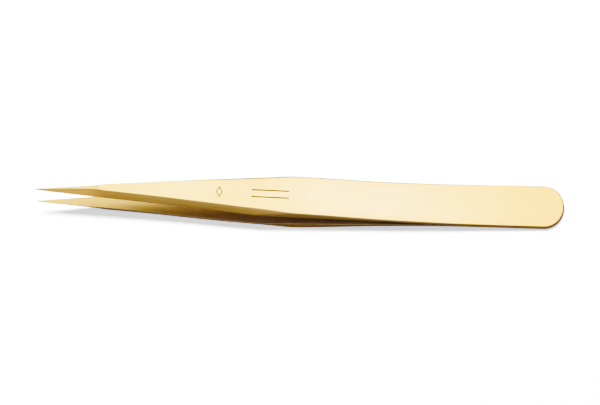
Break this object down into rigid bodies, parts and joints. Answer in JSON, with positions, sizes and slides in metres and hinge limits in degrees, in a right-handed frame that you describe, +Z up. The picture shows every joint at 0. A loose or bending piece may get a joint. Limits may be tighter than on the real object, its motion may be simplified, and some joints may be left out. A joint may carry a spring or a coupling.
{
  "type": "stamp tongs",
  "caption": "Pointed brass stamp tongs: spring arms soldered at a round tail, thick at the finger grip and ground to needle points, lying on one arm.",
  "frame": {"origin": "bottom centre of the bounding box, on the surface the tongs lie on", "axes": "+X along the tongs towards the tail, points at -X; +Y across the arms; +Z up, away from the surface"},
  "size_m": [0.1251, 0.0102, 0.0144],
  "materials": {
    "satin_brass": "brushed along the arms, with a light polish on the edges",
    "hard_solder": "satin"
  },
  "bodies": {
    "tail": {"upper_arm_tail": "satin_brass", "lower_arm_tail": "satin_brass", "tail_solder_joint": "hard_solder"},
    "upper_arm": {"upper_arm_blade": "satin_brass"},
    "lower_arm": {"lower_arm_blade": "satin_brass"}
  },
  "joints": [
    {"name": "upper_arm_flex", "type": "hinge", "parent": "tail", "child": "upper_arm", "pos_m": [0.02961, 0, 0.00364], "axis": [0, -1, 0], "range_deg": [0, 2.62], "stiffness_Nm_per_rad": 2.5},
    {"name": "lower_arm_flex", "type": "hinge", "parent": "tail", "child": "lower_arm", "pos_m": [0.02951, 0, 0.00205], "axis": [0, 1, 0], "range_deg": [0, 2.62], "stiffness_Nm_per_rad": 2.5}
  ]
}
